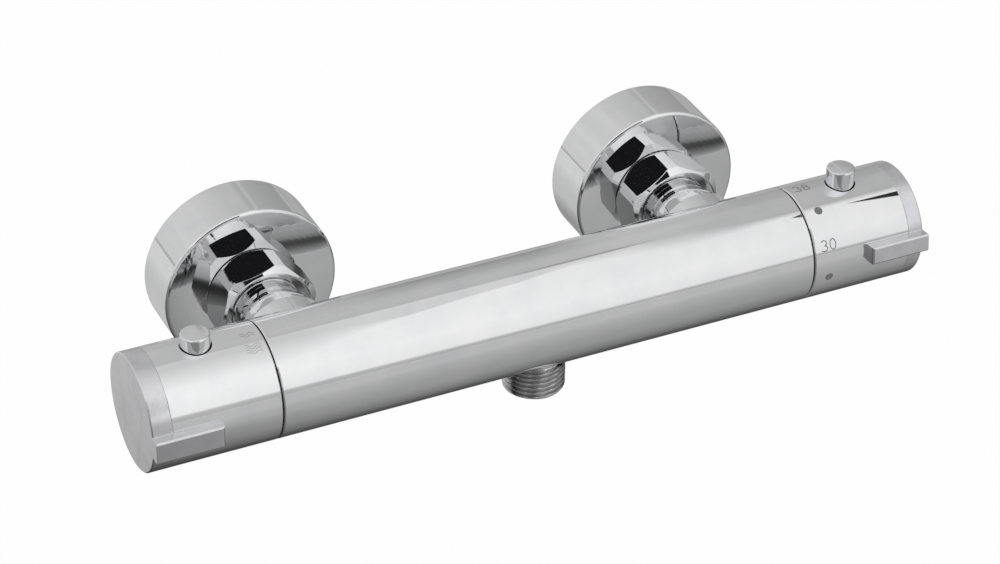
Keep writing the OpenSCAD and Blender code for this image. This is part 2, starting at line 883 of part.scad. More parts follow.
module spindle_cuts(button_z, ring_z) {
    rod(screw_r + running, button_z + hub_from_button + 0.5, button_z + spindle_top + 1);
    groove(spindle_d / 2, spindle_d / 2 - 1, ring_z);
    tube(spindle_d / 2 + 1, spindle_d / 2 - 0.6, button_z - neck_below_button + running,
        button_z - neck_below_button + running + clip_t);
}

module spindle_o_ring(side, z) {
    color(rubber)
        bar_end(side)
            o_ring(spindle_d / 2 + running, spindle_d / 2 - 1, z);
}

module flow_spindle_o_ring() {
    spindle_o_ring(-1, -12);
}

// Spring clip that stops the spindle from dropping back into the cartridge
module spindle_clip(side, neck_top) {
    color(steel)
        bar_end(side)
            difference() {
                tube(spindle_d / 2 + 1.6, spindle_d / 2 - 0.6 + running, neck_top + running,
                    neck_top + running + clip_t - 0.05);
                translate([0, -1.5, neck_top - 1])
                    cube([spindle_d, 3, clip_t + 3]);
            }
}

module flow_spindle_clip() {
    spindle_clip(-1, flow_neck_top);
}

// Insert: carries the sleeve on the spindle and holds the button in a socket
module knob_insert(side, button_z) {
    disc_z = button_z + insert_from_button;
    color(plastic)
        bar_end(side)
            difference() {
                union() {
                    rod(insert_r, disc_z, disc_z + insert_t);
                    rod(hub_r, button_z + hub_from_button, button_z + hub_top);
                    intersection() {
                        translate([boss_floor_top - boss_floor_t, 0, button_z])
                            rotate([0, 90, 0])
                                cylinder(r = boss_r, h = bar_r);
                        rod(insert_r - 0.4, button_z - boss_r - 1, disc_z + 1);
                    }
                }
                drive_rod(drive_af + 2 * running, button_z, button_z + spindle_top + 0.2);
                rod(screw_r + 0.2, button_z, button_z + hub_top + 1);
                translate([boss_floor_top, 0, button_z])
                    rotate([0, 90, 0])
                        cylinder(r = button_flange_r + 0.15, h = bar_r);
                translate([boss_floor_top - 2 * boss_floor_t, 0, button_z])
                    rotate([0, 90, 0])
                        cylinder(r = pin_r + 0.15, h = bar_r);
            }
}

module flow_knob_insert() {
    knob_insert(-1, flow_button_z);
}

module knob_sleeve(side, len, skirt, button_z) {
    top = len - skirt;
    color(chrome)
        bar_end(side)
            difference() {
                turned([[sleeve_ir, seam_gap], [bar_r - edge_chamfer, seam_gap],
                    [bar_r, seam_gap + edge_chamfer], [bar_r, top], [sleeve_ir, top]]);
                translate([0, 0, button_z])
                    rotate([0, 90, 0])
                        cylinder(d = button_hole_d, h = bar_r + 1);
            }
}

module flow_knob_sleeve() {
    knob_sleeve(-1, flow_knob_len, flow_skirt, flow_button_z);
}

// Satin cap: end disc, ring and lever in one piece, with a spigot in the sleeve
module knob_cap(side, len, skirt, lever_len, lever_h, proud, angle) {
    ring_back = len - skirt;
    spigot = 4;
    spigot_wall = 1.5;
    outer = bar_r + proud;
    half = lever_h / 2;
    lever_back = len - lever_len;
    color(satin)
        bar_end(side)
            union() {
                turned([[0, len - cap_t], [insert_r - spigot_wall, len - cap_t],
                    [insert_r - spigot_wall, ring_back - spigot], [insert_r, ring_back - spigot],
                    [insert_r, ring_back + running], [bar_r, ring_back + running],
                    [bar_r, len - edge_chamfer], [bar_r - edge_chamfer, len], [0, len]]);
                rotate([0, 0, -90 + angle])
                    difference() {
                        translate([0, 0, lever_back])
                            linear_extrude(lever_len)
                                polygon([[bar_r - sleeve_wall, -half], [outer - lever_chamfer, -half],
                                    [outer, -half + lever_chamfer], [outer, half - lever_chamfer],
                                    [outer - lever_chamfer, half], [bar_r - sleeve_wall, half]]);
                        rod(bar_r + running, lever_back - 1, ring_back + running);
                        difference() {
                            translate([outer - lever_end_r, -lever_h, lever_back - 1])
                                cube([lever_end_r + 1, 2 * lever_h, lever_end_r + 1]);
                            translate([outer - lever_end_r, -lever_h - 1, lever_back + lever_end_r])
                                rotate([-90, 0, 0])
                                    cylinder(r = lever_end_r, h = 2 * lever_h + 2);
                        }
                    }
            }
}

module flow_knob_cap() {
    knob_cap(-1, flow_knob_len, flow_skirt, flow_lever_len, flow_lever_h, flow_lever_proud, flow_lever_angle);
}

module knob_screw(side, button_z) {
    top = button_z + hub_top;
    color(steel)
        bar_end(side)
            difference() {
                union() {
                    rod(screw_r, button_z + hub_from_button + 1, top + 0.5);
                    rod(screw_head_r, top, top + screw_head_t);
                }
                hex_rod(2.5, top + screw_head_t - 1.4, top + screw_head_t + 1);
            }
}

module flow_knob_screw() {
    knob_screw(-1, flow_button_z);
}

// Push button: head, retaining flange and pin round a hollow for the spring
module push_button(side, button_z, proud) {
    top = bar_r + proud;
    roof = top - button_roof;
    rim = button_r - button_edge_r;
    edge = [for (a = [0 : 15 : 75])
        [rim + button_edge_r * cos(a), top - button_edge_r + button_edge_r * sin(a)]];
    crown = [for (t = [1 : -0.2 : 0.1])
        [rim * t, top + button_crown * (1 - t * t)]];
    color(chrome)
        bar_end(side)
            translate([0, 0, button_z])
                rotate([0, 90, 0])
                    turned(concat([[0, pin_tip], [pin_r - 0.3, pin_tip], [pin_r, pin_tip + 0.3],
                        [pin_r, roof], [button_r - 1.3, roof], [button_r - 1.3, button_flange_low],
                        [button_flange_r, button_flange_low], [button_flange_r, button_flange_top],
                        [button_r, button_flange_top]], edge, crown, [[0, top + button_crown]]));
}

module flow_button() {
    push_button(-1, flow_button_z, flow_button_proud);
}

module button_spring(side, button_z, proud) {
    color(steel)
        bar_end(side)
            translate([0, 0, button_z])
                rotate([0, 90, 0])
                    coil(pin_r + 0.65 + button_wire / 2, button_wire / 2, boss_floor_top,
                        bar_r + proud - button_roof, 5);
}

module flow_button_spring() {
    button_spring(-1, flow_button_z, flow_button_proud);
}

// Thermostatic cartridge: housing with hot and cold windows, and the bonnet screwed on it
thermo_neck_top = temperature_button_z - neck_below_button;

module thermostat_ring_grooves() {
    for (i = [0 : 2])
        groove(thermo_ring_bore[i] - 0.2, thermo_ring_bore[i] - 1.6, -thermo_ring_z[i]);
}

module thermostat_housing() {
    color(brass)
        bar_end(1)
            difference() {
                union() {
                    rod(thermo_narrow_r, -thermo_tail_z, -thermo_step_z + 1);
                    rod(thermo_wide_r, -thermo_step_z, -joint_z);
                    rod(joint_r, -joint_z - 1, -split_z);
                }
                rod(shuttle_bore_d / 2 - 2.4, -thermo_tail_z - 1, -thermo_tail_z + 3);
                rod(shuttle_bore_d / 2, -thermo_tail_z + 2, -split_z + 1);
                for (z = [cold_port_z, hot_port_z])
                    for (turn = [0, 90])
                        rotate([0, 0, turn])
                            translate([-thermo_bore_d, -3.4, -z - window_half])
                                cube([2 * thermo_bore_d, 6.8, 2 * window_half]);
                thermostat_ring_grooves();
            }
}

module thermostat_bonnet() {
    color(brass)
        bar_end(1)
            difference() {
                union() {
                    rod(thermo_wide_r, -joint_z, -gland_depth);
                    rod(temperature_gland_d / 2 - fit, -gland_depth, -gland_flange_t);
                    rod(cartridge_neck_d / 2, -gland_flange_t, thermo_neck_top);
                }
                rod(joint_r + fit, -joint_z - 1, -split_z);
                rod(carrier_r + cup_wall + 2 * free, -split_z - 1, -spindle_cup_z + running);
                rod(spindle_d / 2 + running, -split_z, thermo_neck_top + 1);
                thermostat_ring_grooves();
            }
}

module thermostat_o_rings() {
    color(rubber)
        bar_end(1)
            for (i = [0 : 2])
                o_ring(thermo_ring_bore[i], thermo_ring_bore[i] - 1.6, -thermo_ring_z[i]);
}

module thermostat_gland_nut() {
    gland_nut(1, temperature_gland_d, temperature_gland_top);
}

module temperature_stop_ring() {
    stop_ring(1, temperature_gland_top, temperature_button_z, temperature_turn_min, temperature_turn_max);
}

// Shuttle: the sleeve that opens one supply as it closes the other
module mixing_shuttle() {
    web_t = 2.4;
    inner = shuttle_r - shuttle_wall;
    color(plastic)
        bar_end(1)
            union() {
                tube(shuttle_r, inner, -shuttle_back_z, -shuttle_front_z);
                difference() {
                    rod(inner + 0.3, -shuttle_web_z - web_t / 2, -shuttle_web_z + web_t / 2);
                    rod(wax_d / 2 + running, -shuttle_web_z - web_t, -shuttle_web_z + web_t);
                    for (i = [0 : 5])
                        rotate([0, 0, i * 60])
                            translate([wax_d / 2 + 1.15, 0, 0])
                                rod(0.7, -shuttle_web_z - web_t, -shuttle_web_z + web_t);
                }
            }
}

module wax_element() {
    collar_z = -shuttle_web_z + 1.2 + running;
    bulb_r = wax_d / 2;
    color(brass)
        bar_end(1)
            turned([[0, collar_z - wax_len], [bulb_r - wax_edge, collar_z - wax_len],
                [bulb_r, collar_z - wax_len + wax_edge], [bulb_r, collar_z], [bulb_r + 0.6, collar_z],
                [bulb_r + 0.6, collar_z + 1.8], [2, collar_z + 2.6], [2, -carrier_back_z - 1.5],
                [1.2, -carrier_back_z - 1.5], [1.2, -carrier_back_z + 1.6], [3, -carrier_back_z + 1.6],
                [3, -carrier_back_z + 2.8], [0, -carrier_back_z + 2.8]]);
}

module return_spring() {
    color(steel)
        bar_end(1)
            coil(shuttle_bore_d / 2 - 0.8 - return_wire_r, return_wire_r, -thermo_tail_z + 2,
                -shuttle_back_z, 6);
}

// Overload carrier: screwed in the spindle's cup, it pushes the wax element's pin
module overload_carrier() {
    color(brass)
        bar_end(1)
            turned([[1.2 + fit, -carrier_back_z], [carrier_r, -carrier_back_z], [carrier_r, -carrier_front_z],
                [0, -carrier_front_z], [0, -carrier_front_z - 1.2], [carrier_r - 2, -carrier_front_z - 1.2],
                [carrier_r - 2, -carrier_back_z + 1.55], [1.2 + fit, -carrier_back_z + 1.55]]);
}

module overload_spring() {
    color(steel)
        bar_end(1)
            coil(2.6, overload_wire_r, -carrier_back_z + 2.8, -carrier_front_z - 1.2, 3);
}

module temperature_spindle() {
    color(brass)
        bar_end(1)
            difference() {
                union() {
                    rod(carrier_r + cup_wall, -split_z + 0.5, -spindle_cup_z);
                    rod(spindle_d / 2, -spindle_cup_z - 1, thermo_neck_top + clip_t + 0.6);
                    drive_rod(drive_af, thermo_neck_top, temperature_button_z + spindle_top);
                }
                rod(carrier_r + fit, -split_z, -spindle_cup_z - 1.4);
                spindle_cuts(temperature_button_z, 6);
            }
}

module temperature_spindle_o_ring() {
    spindle_o_ring(1, 6);
}

module temperature_spindle_clip() {
    spindle_clip(1, thermo_neck_top);
}

module temperature_knob_insert() {
    knob_insert(1, temperature_button_z);
}

module temperature_knob_sleeve() {
    knob_sleeve(1, temperature_knob_len, temperature_skirt, temperature_button_z);
}

module temperature_knob_cap() {
    knob_cap(1, temperature_knob_len, temperature_skirt, temperature_lever_len, temperature_lever_h,
        temperature_lever_proud, temperature_lever_angle);
}

module temperature_knob_screw() {
    knob_screw(1, temperature_button_z);
}

module temperature_button() {
    push_button(1, temperature_button_z, temperature_button_proud);
}

module temperature_button_spring() {
    button_spring(1, temperature_button_z, temperature_button_proud);
}

valve_body();
hot_wall_connector();
cold_wall_connector();
hot_shroud();
cold_shroud();
shroud_seals();
hot_union_nut();
cold_union_nut();
union_washers();
hot_strainer();
cold_strainer();
hot_union_tail();
cold_union_tail();
tail_o_rings();
hot_check_valve();
cold_check_valve();
hot_check_poppet();
cold_check_poppet();
hot_check_spring();
cold_check_spring();
outlet_nipple();
outlet_o_ring();
flow_cartridge_body();
flow_cartridge_o_ring();
flow_seat_seal();
flow_fixed_disc();
flow_moving_disc();
flow_gland_nut();
flow_stop_ring();
flow_spindle();
flow_spindle_o_ring();
flow_spindle_clip();
flow_knob_insert();
flow_knob_sleeve();
flow_knob_cap();
flow_knob_screw();
flow_button();
flow_button_spring();
thermostat_housing();
thermostat_bonnet();
thermostat_o_rings();
thermostat_gland_nut();
temperature_stop_ring();
mixing_shuttle();
wax_element();
return_spring();
overload_spring();
overload_carrier();
temperature_spindle();
temperature_spindle_o_ring();
temperature_spindle_clip();
temperature_knob_insert();
temperature_knob_sleeve();
temperature_knob_cap();
temperature_knob_screw();
temperature_button();
temperature_button_spring();
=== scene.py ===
"""Thermostatic shower valve: finishes, thread, dial marks, studio and camera."""
import json
import math

import bmesh
import bpy
from mathutils import Matrix, Vector


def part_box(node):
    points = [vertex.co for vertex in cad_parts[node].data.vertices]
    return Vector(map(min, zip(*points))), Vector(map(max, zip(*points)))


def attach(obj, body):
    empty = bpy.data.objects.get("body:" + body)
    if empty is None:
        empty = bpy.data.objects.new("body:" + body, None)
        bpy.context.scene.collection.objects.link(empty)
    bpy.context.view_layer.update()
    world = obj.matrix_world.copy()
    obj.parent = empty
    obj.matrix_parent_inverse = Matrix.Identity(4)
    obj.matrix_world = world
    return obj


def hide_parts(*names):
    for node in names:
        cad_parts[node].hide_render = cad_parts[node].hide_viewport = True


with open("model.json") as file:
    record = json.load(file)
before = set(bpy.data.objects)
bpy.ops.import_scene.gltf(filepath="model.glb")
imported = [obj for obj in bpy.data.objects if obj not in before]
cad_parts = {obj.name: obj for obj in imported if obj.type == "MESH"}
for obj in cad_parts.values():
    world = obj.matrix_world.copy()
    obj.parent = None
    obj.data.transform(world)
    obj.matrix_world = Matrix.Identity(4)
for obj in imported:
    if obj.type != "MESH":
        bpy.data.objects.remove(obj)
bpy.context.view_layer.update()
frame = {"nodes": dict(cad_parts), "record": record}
NODES = frame["nodes"]
MM = 0.001

# Places taken from the frame
bar_low, bar_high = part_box("valve_body")
BAR_R = (bar_high.z - bar_low.z) / 2
BAR_Y = bar_low.y + BAR_R
OUTLET = next(m for m in frame["record"]["mounts"] if m["name"] == "hose_outlet")


# Shader building

def new_material(name):
    """An empty node material with its output and Principled shader."""
    material = bpy.data.materials.new(name)
    material.use_nodes = True
    tree = material.node_tree
    tree.nodes.clear()
    output = tree.nodes.new("ShaderNodeOutputMaterial")
    shader = tree.nodes.new("ShaderNodeBsdfPrincipled")
    tree.links.new(shader.outputs["BSDF"], output.inputs["Surface"])
    return material, tree, shader


def new_group(name, inputs, outputs):
    """A shader node group with named sockets; returns it with its input and output nodes."""
    group = bpy.data.node_groups.new(name, "ShaderNodeTree")
    for label, kind, value in inputs:
        socket = group.interface.new_socket(label, in_out="INPUT", socket_type=kind)
        socket.default_value = value
    for label, kind in outputs:
        group.interface.new_socket(label, in_out="OUTPUT", socket_type=kind)
    start = group.nodes.new("NodeGroupInput")
    end = group.nodes.new("NodeGroupOutput")
    return group, start, end


def place_group(tree, group, **values):
    """Puts a group into a material, with its values set by name."""
    node = tree.nodes.new("ShaderNodeGroup")
    node.node_tree = group
    for label, value in values.items():
        node.inputs[label.replace("_", " ")].default_value = value
    return node


def math_node(tree, operation, a, b=None, clamp=False):
    """A Math node; a and b are sockets or numbers."""
    node = tree.nodes.new("ShaderNodeMath")
    node.operation = operation
    node.use_clamp = clamp
    for socket, value in zip(node.inputs, (a, b)):
        if value is None:
            continue
        if isinstance(value, (int, float)):
            socket.default_value = value
        else:
            tree.links.new(value, socket)
    return node.outputs["Value"]


def line_node(tree, value, slope, start, clamp=False):
    """value times slope plus start; start is a number."""
    result = math_node(tree, "MULTIPLY_ADD", value, slope, clamp)
    result.node.inputs[2].default_value = start
    return result


def ramp_node(tree, factor, stops):
    """A colour ramp of (place, grey or colour) stops."""
    node = tree.nodes.new("ShaderNodeValToRGB")
    elements = node.color_ramp.elements
    while len(elements) < len(stops):
        elements.new(1.0)
    for element, (place, colour) in zip(elements, stops):
        element.position = place
        grey = isinstance(colour, (int, float))
        element.color = (colour, colour, colour, 1.0) if grey else (*colour, 1.0)
    tree.links.new(factor, node.inputs["Fac"])
    return node.outputs["Color"]


def mix_colours(tree, factor, a, b):
    """Mixes two colours; each is a socket or a tuple, and factor is a socket. A Mix node keeps its
    colours in the inputs 6 and 7 and in the output 2."""
    node = tree.nodes.new("ShaderNodeMix")
    node.data_type = "RGBA"
    tree.links.new(factor, node.inputs[0])
    for socket, value in ((node.inputs[6], a), (node.inputs[7], b)):
        if isinstance(value, tuple):
            socket.default_value = (*value, 1.0)
        else:
            tree.links.new(value, socket)
    return node.outputs[2]


# How fast a wedge's edge goes from 0 to 1, per full turn round the bar
WEDGE_SHARPNESS = 400.0


def wedge(tree, x, turn, reach, middle, spread):
    """1 inside a wedge that widens to the right; reach is (tip, end) in x, middle is (turn at the
    tip, slope), and spread is the half width's growth."""
    along = math_node(tree, "SUBTRACT", x, reach[0])
    centre = line_node(tree, along, middle[1], middle[0])
    off = math_node(tree, "ABSOLUTE", math_node(tree, "SUBTRACT", turn, centre))
    inside = math_node(tree, "SUBTRACT", math_node(tree, "MULTIPLY", along, spread), off)
    inside = math_node(tree, "MULTIPLY", inside, WEDGE_SHARPNESS, clamp=True)
    return math_node(tree, "MULTIPLY", inside, math_node(tree, "LESS_THAN", x, reach[1]))


def scale_colour(tree, colour, factor):
    """A colour times a value."""
    node = tree.nodes.new("ShaderNodeVectorMath")
    node.operation = "SCALE"
    if isinstance(colour, tuple):
        node.inputs[0].default_value = colour
    else:
        tree.links.new(colour, node.inputs[0])
    tree.links.new(factor, node.inputs["Scale"])
    return node.outputs["Vector"]


def band(tree, value, low, high, soft):
    """1 where value lies between low and high, with soft edges."""
    rise = math_node(tree, "DIVIDE", math_node(tree, "SUBTRACT", value, low), soft, clamp=True)
    fall = math_node(tree, "DIVIDE", math_node(tree, "SUBTRACT", high, value), soft, clamp=True)
    return math_node(tree, "MULTIPLY", rise, fall)


def haze_group():
    """Soft uneven haze, such as wiped metal has: a mask and a value between Low and High."""
    group, start, end = new_group(
        "wiped_haze",
        [("Scale", "NodeSocketFloat", 60.0), ("Low", "NodeSocketFloat", 0.04),
         ("High", "NodeSocketFloat", 0.08)],
        [("Value", "NodeSocketFloat"), ("Mask", "NodeSocketFloat")],
    )
    place = group.nodes.new("ShaderNodeTexCoord")
    noise = group.nodes.new("ShaderNodeTexNoise")
    noise.inputs["Detail"].default_value = 4.0
    noise.inputs["Roughness"].default_value = 0.6
    group.links.new(place.outputs["Object"], noise.inputs["Vector"])
    group.links.new(start.outputs["Scale"], noise.inputs["Scale"])
    mask = math_node(group, "SUBTRACT", noise.outputs["Fac"], 0.35)
    mask = math_node(group, "MULTIPLY", mask, 3.0, clamp=True)
    spread = math_node(group, "SUBTRACT", start.outputs["High"], start.outputs["Low"])
    value = math_node(group, "MULTIPLY", mask, spread)
    value = math_node(group, "ADD", value, start.outputs["Low"])
    group.links.new(value, end.inputs["Value"])
    group.links.new(mask, end.inputs["Mask"])
    return group


def grain_group():
    """Fine grain, stretched along one axis or even: a height."""
    group, start, end = new_group(
        "fine_grain",
        [("Scale", "NodeSocketFloat", 4000.0), ("Stretch", "NodeSocketVector", (1.0, 1.0, 1.0))],
        [("Height", "NodeSocketFloat")],
    )
    place = group.nodes.new("ShaderNodeTexCoord")
    stretch = group.nodes.new("ShaderNodeVectorMath")
    stretch.operation = "MULTIPLY"
    noise = group.nodes.new("ShaderNodeTexNoise")
    noise.inputs["Detail"].default_value = 2.0
    group.links.new(place.outputs["Object"], stretch.inputs[0])
    group.links.new(start.outputs["Stretch"], stretch.inputs[1])
    group.links.new(stretch.outputs["Vector"], noise.inputs["Vector"])
    group.links.new(start.outputs["Scale"], noise.inputs["Scale"])
    group.links.new(noise.outputs["Fac"], end.inputs["Height"])
    return group


def edge_group():
    """Rounded edges: a normal that rounds them off and a mask that is 1 along them. The mask
    makes the colour lighter there: rubbing, and a painted edge highlight.
    """
    group, start, end = new_group(
        "edge_rubbing_and_highlight",
        [("Radius", "NodeSocketFloat", 0.0004), ("Gain", "NodeSocketFloat", 5.0)],
        [("Normal", "NodeSocketVector"), ("Mask", "NodeSocketFloat")],
    )
    rounded = group.nodes.new("ShaderNodeBevel")
    rounded.samples = 6
    group.links.new(start.outputs["Radius"], rounded.inputs["Radius"])
    surface = group.nodes.new("ShaderNodeNewGeometry")
    likeness = group.nodes.new("ShaderNodeVectorMath")
    likeness.operation = "DOT_PRODUCT"
    group.links.new(rounded.outputs["Normal"], likeness.inputs[0])
    group.links.new(surface.outputs["Normal"], likeness.inputs[1])
    mask = math_node(group, "SUBTRACT", 1.0, likeness.outputs["Value"])
    mask = math_node(group, "MULTIPLY", mask, start.outputs["Gain"], clamp=True)
    group.links.new(rounded.outputs["Normal"], end.inputs["Normal"])
    group.links.new(mask, end.inputs["Mask"])
    return group


def add_bump(tree, shader, height, strength, distance, normal):
    """A Bump node from a height socket, on a normal, into the shader's normal."""
    bump = tree.nodes.new("ShaderNodeBump")
    bump.inputs["Strength"].default_value = strength
    bump.inputs["Distance"].default_value = distance
    tree.links.new(height, bump.inputs["Height"])
    tree.links.new(normal, bump.inputs["Normal"])
    tree.links.new(bump.outputs["Normal"], shader.inputs["Normal"])


HAZE = haze_group()
GRAIN = grain_group()
EDGE = edge_group()


# Finishes

def haze_rubbing_and_edge_highlight(tree, shader, haze, edge, colours, rougher):
    """Colour and roughness from the haze, changed along the edges, whose lighter colour is rubbing
    and a painted edge highlight.
    """
    clean, hazy, rubbed_and_highlit = colours
    colour = mix_colours(tree, haze.outputs["Mask"], clean, hazy)
    # Lighter along the edges: rubbing, and a painted edge highlight
    colour = mix_colours(tree, edge.outputs["Mask"], colour, rubbed_and_highlit)
    tree.links.new(colour, shader.inputs["Base Color"])
    extra = math_node(tree, "MULTIPLY", edge.outputs["Mask"], rougher)
    roughness = math_node(tree, "ADD", haze.outputs["Value"], extra)
    tree.links.new(roughness, shader.inputs["Roughness"])


def add_finish(name, colours, roughness, haze_scale, grain, edge, metallic=1.0, gloss=0.5):
    """A metal, or with metallic=0 a rubber, plastic or ceramic. colours are (clean, hazy, lighter
    edge: rubbing and a painted highlight), roughness is (low, high, more at edges), grain is (scale,
    stretch, strength, depth in metres) and edge is (radius in metres, gain)."""
    material, tree, shader = new_material(name)
    shader.inputs["Metallic"].default_value = metallic
    shader.inputs["Specular IOR Level"].default_value = gloss
    low, high, rougher = roughness
    haze = place_group(tree, HAZE, Scale=haze_scale, Low=low, High=high)
    rim = place_group(tree, EDGE, Radius=edge[0], Gain=edge[1])
    haze_rubbing_and_edge_highlight(tree, shader, haze, rim, colours, rougher)
    scale, stretch, strength, depth = grain
    lines = place_group(tree, GRAIN, Scale=scale, Stretch=stretch)
    add_bump(tree, shader, lines.outputs["Height"], strength, depth, rim.outputs["Normal"])
    return material


EVEN = (1.0, 1.0, 1.0)
# The third colour of each finish is its lighter edge colour: rubbing, and a painted edge highlight
POLISHED = add_finish(
    "polished_chrome",
    ((0.82, 0.82, 0.825), (0.77, 0.775, 0.785), (0.86, 0.86, 0.865)),
    (0.01, 0.03, 0.03), 90.0, (70.0, EVEN, 0.06, 0.02 * MM), (0.2 * MM, 5.0))
SATIN = add_finish(
    "satin_chrome",
    ((0.73, 0.73, 0.745), (0.66, 0.66, 0.675), (0.80, 0.80, 0.81)),
    (0.20, 0.27, -0.05), 160.0, (5200.0, EVEN, 0.18, 0.03 * MM), (0.3 * MM, 5.0))
THREADED = add_finish(
    "thread_steel",
    ((0.68, 0.68, 0.68), (0.52, 0.52, 0.52), (0.80, 0.80, 0.80)),
    (0.05, 0.10, 0.05), 300.0, (900.0, EVEN, 0.08, 0.02 * MM), (0.1 * MM, 4.0))
BRASS = add_finish(
    "raw_brass",
    ((0.78, 0.60, 0.30), (0.62, 0.44, 0.19), (0.86, 0.70, 0.40)),
    (0.22, 0.36, -0.1), 220.0, (600.0, (8.0, 1.0, 1.0), 0.2, 0.03 * MM), (0.3 * MM, 5.0))
SPRING = add_finish(
    "spring_steel",
    ((0.60, 0.60, 0.61), (0.46, 0.46, 0.47), (0.72, 0.72, 0.73)),
    (0.2, 0.34, -0.05), 300.0, (2500.0, EVEN, 0.12, 0.02 * MM), (0.1 * MM, 4.0))
RUBBER = add_finish(
    "black_rubber",
    ((0.018, 0.018, 0.018), (0.035, 0.035, 0.035), (0.06, 0.06, 0.06)),
    (0.55, 0.75, 0.05), 300.0, (3500.0, EVEN, 0.3, 0.03 * MM), (0.2 * MM, 4.0),
    metallic=0.0, gloss=0.3)
CERAMIC = add_finish(
    "white_ceramic",
    ((0.74, 0.73, 0.70), (0.84, 0.83, 0.80), (0.87, 0.86, 0.84)),
    (0.12, 0.22, 0.05), 200.0, (4000.0, EVEN, 0.08, 0.02 * MM), (0.2 * MM, 4.0),
    metallic=0.0)
PLASTIC = add_finish(
    "grey_plastic",
    ((0.16, 0.165, 0.175), (0.23, 0.235, 0.245), (0.30, 0.305, 0.315)),
    (0.38, 0.5, -0.1), 250.0, (2600.0, EVEN, 0.25, 0.03 * MM), (0.25 * MM, 4.0),
    metallic=0.0)
ETCHED = add_finish(
    "etched_grey",
    ((0.15, 0.15, 0.155), (0.21, 0.21, 0.215), (0.25, 0.25, 0.25)),
    (0.35, 0.5, 0.05), 900.0, (9000.0, EVEN, 0.3, 0.02 * MM), (0.02 * MM, 2.0),
    metallic=0.0, gloss=0.7)
FAINT = add_finish(
    "faint_etching",
    ((0.60, 0.60, 0.60), (0.50, 0.50, 0.50), (0.62, 0.62, 0.62)),
    (0.25, 0.35, 0.05), 900.0, (9000.0, EVEN, 0.3, 0.02 * MM), (0.02 * MM, 2.0))
FINISHES = {
    "polished_chrome": POLISHED,
    "satin_chrome": SATIN,
    "thread_steel": THREADED,
    "raw_brass": BRASS,
    "spring_steel": SPRING,
    "black_rubber": RUBBER,
    "white_ceramic": CERAMIC,
    "grey_plastic": PLASTIC,
}


def dress_nodes():
    """Every carried-over node gets the finish of its slot, smooth where it is round."""
    slots = {s["node"]: s["material_slot"] for s in frame["record"]["subparts"]}
    for name, node in NODES.items():
        node.data.materials.clear()
        node.data.materials.append(FINISHES[slots[name]])
        smooth_round_faces(node.data)


# Faces that meet at more than this keep a sharp edge between them
SHARP_ANGLE = math.radians(28.0)


def smooth_round_faces(mesh):
    """Smooth shading, with the sharp edges kept."""
    mesh.shade_smooth()
    shape = bmesh.new()
    shape.from_mesh(mesh)
    for edge in shape.edges:
        edge.smooth = len(edge.link_faces) == 2 and edge.calc_face_angle(0.0) < SHARP_ANGLE
    shape.to_mesh(mesh)
    shape.free()


# Meshes

def add_piece(name, points, faces, material, body):
    """A piece from points in metres in the row frame, riding on a body."""
    mesh = bpy.data.meshes.new(name)
    mesh.from_pydata([tuple(p) for p in points], [], faces)
    mesh.materials.append(material)
    piece = bpy.data.objects.new(name, mesh)
    bpy.context.scene.collection.objects.link(piece)
    smooth_round_faces(mesh)
    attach(piece, body)
    return piece


def ring_grid(columns):
    """Faces that join equal closed columns of points into a closed ring."""
    count, rows = len(columns), len(columns[0])
    faces = []
    for i in range(count):
        nxt = (i + 1) % count
        for j in range(rows):
            k = (j + 1) % rows
            faces.append((i * rows + j, i * rows + k, nxt * rows + k, nxt * rows + j))
    return faces


# The outlet, in metres
PIPE_PITCH = 1.814 * MM
THREAD_DEPTH = 1.1 * MM
COLLAR = 1.9 * MM
COLLAR_STEP = 0.9 * MM
SCREW_STEP = 1.95 * MM
OUTLET_BORE_R = 6.5 * MM
SEAT_R = 11.4 * MM
SEAT_SINK = 0.2 * MM
END_CHAMFER = 0.8 * MM
BORE_CHAMFER = 0.5 * MM


def thread_radius(phase, crest):
    """Radius of a rounded pipe thread at a phase from 0 to 1 along its pitch. The wave is made
    steeper and cut off, which leaves flats at the crest and the root."""
    rise = 0.5 - 0.5 * math.cos(2 * math.pi * phase)
    return crest - THREAD_DEPTH * (1 - min(1.0, max(0.0, rise * 1.35 - 0.12)))


def build_outlet():
    """The outlet's stub: collar, true helical thread, chamfered end and bore."""
    crest = OUTLET["dims"]["r_mm"] * MM
    collar_r = crest - COLLAR_STEP
    screw_r = crest - SCREW_STEP
    low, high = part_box("outlet_nipple")
    centre = Vector(((low.x + high.x) / 2, (low.y + high.y) / 2, 0.0))
    face_z = -math.sqrt(BAR_R**2 - SEAT_R**2) - SEAT_SINK
    thread_top = face_z - COLLAR
    turns, levels = 180, 14
    rows = int((thread_top - low.z) / PIPE_PITCH * levels)
    columns = []
    for i in range(turns):
        angle = 2 * math.pi * i / turns
        direction = Vector((math.cos(angle), math.sin(angle), 0.0))
        profile = [(OUTLET_BORE_R, high.z), (screw_r, high.z), (screw_r, face_z),
                   (collar_r, face_z), (collar_r, thread_top)]
        for j in range(rows + 1):
            z = thread_top + (low.z - thread_top) * j / rows
            radius = thread_radius((z / PIPE_PITCH - i / turns) % 1.0, crest)
            radius = min(radius, crest - END_CHAMFER + (z - low.z), collar_r + (thread_top - z))
            profile.append((radius, z))
        profile += [(OUTLET_BORE_R + BORE_CHAMFER, low.z), (OUTLET_BORE_R, low.z + BORE_CHAMFER)]
        columns.append([centre + direction * r + Vector((0, 0, z)) for r, z in profile])
    points = [p for column in columns for p in column]
    piece = add_piece("outlet_thread", points, ring_grid(columns), THREADED, "valve")
    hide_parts("outlet_nipple")


# Marks on the knobs

# How far the marks lie off the knobs' skin
LIFT = 0.02 * MM
# The strokes' widths, the figures' height and the dots' radius, in mm
FIGURE_STROKE = 0.34
WAVE_STROKE = 0.26
FIGURE_HEIGHT = 3.6
DOT_R = 1.45
